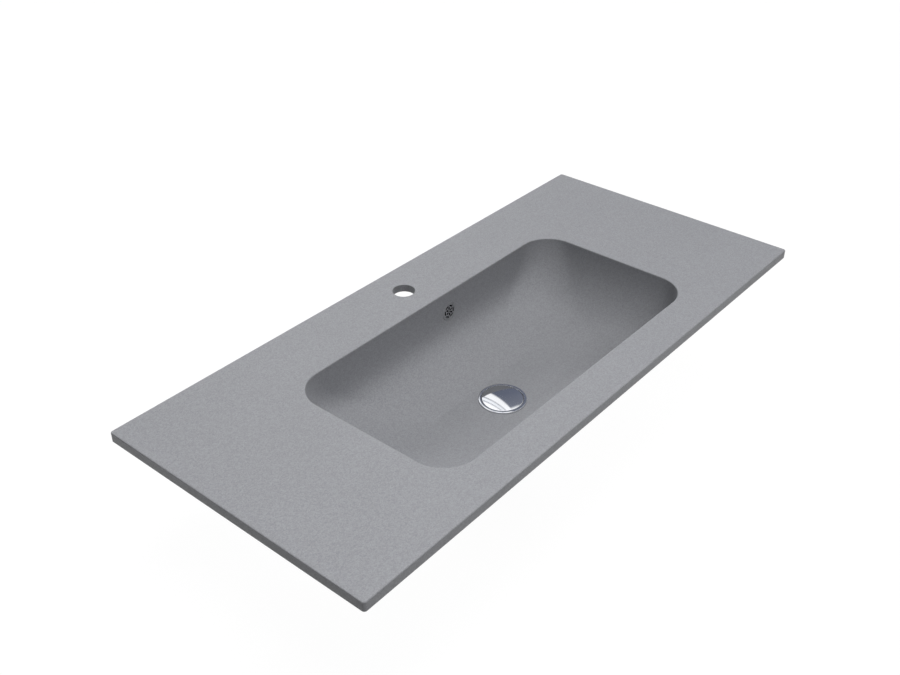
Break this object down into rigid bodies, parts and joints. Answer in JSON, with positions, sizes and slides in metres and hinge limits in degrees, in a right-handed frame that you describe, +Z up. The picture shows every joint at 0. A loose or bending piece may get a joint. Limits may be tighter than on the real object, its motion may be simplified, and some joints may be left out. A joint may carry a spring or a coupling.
{
  "type": "vanity top washbasin",
  "caption": "Flat vanity top with a sunken oblong bowl, tap hole, slotted overflow with a bonded duct, and a chrome push-to-open waste clamped through the bowl's boss by a back nut.",
  "frame": {"origin": "On the underside of the flat top, at the middle of its back edge, in the mount cabinet_seat's plane.", "axes": "+X to the right of a person who stands at the basin, +Y to the wall behind it, +Z up."},
  "size_m": [1, 0.45, 0.199],
  "materials": {
    "mineral_composite": "satin, finely speckled",
    "chrome": "polished",
    "brass": "turned",
    "stainless_steel": "drawn wire",
    "grey_plastic": "satin",
    "white_plastic": "satin",
    "black_rubber": "matt"
  },
  "bodies": {
    "basin": {"basin_casting": "mineral_composite", "overflow_duct": "mineral_composite", "overflow_bezel": "grey_plastic", "overflow_grille": "grey_plastic", "overflow_seal": "black_rubber", "waste_body": "chrome", "flange_gasket": "black_rubber", "cone_seal": "black_rubber", "slip_washer": "white_plastic", "back_nut": "brass", "cartridge_barrel": "white_plastic", "barrel_washer": "black_rubber", "cartridge_end_cap": "white_plastic", "cartridge_spring": "stainless_steel"},
    "plug": {"plug_cap": "chrome", "plug_core": "white_plastic", "plug_seal": "black_rubber", "plug_stem": "brass", "stem_lock_nut": "brass", "cartridge_plunger": "grey_plastic"},
    "rotor": {"cartridge_rotor": "white_plastic"}
  },
  "joints": [
    {"name": "plug_lift", "type": "slide", "parent": "basin", "child": "plug", "axis": [0, 0, 1], "range_m": [0, 0.009], "deforming": ["cartridge_spring"]},
    {"name": "rotor_index", "type": "hinge", "parent": "plug", "child": "rotor", "pos_m": [0, -0.252, -0.144], "axis": [0, 0, 1], "continuous": true}
  ]
}
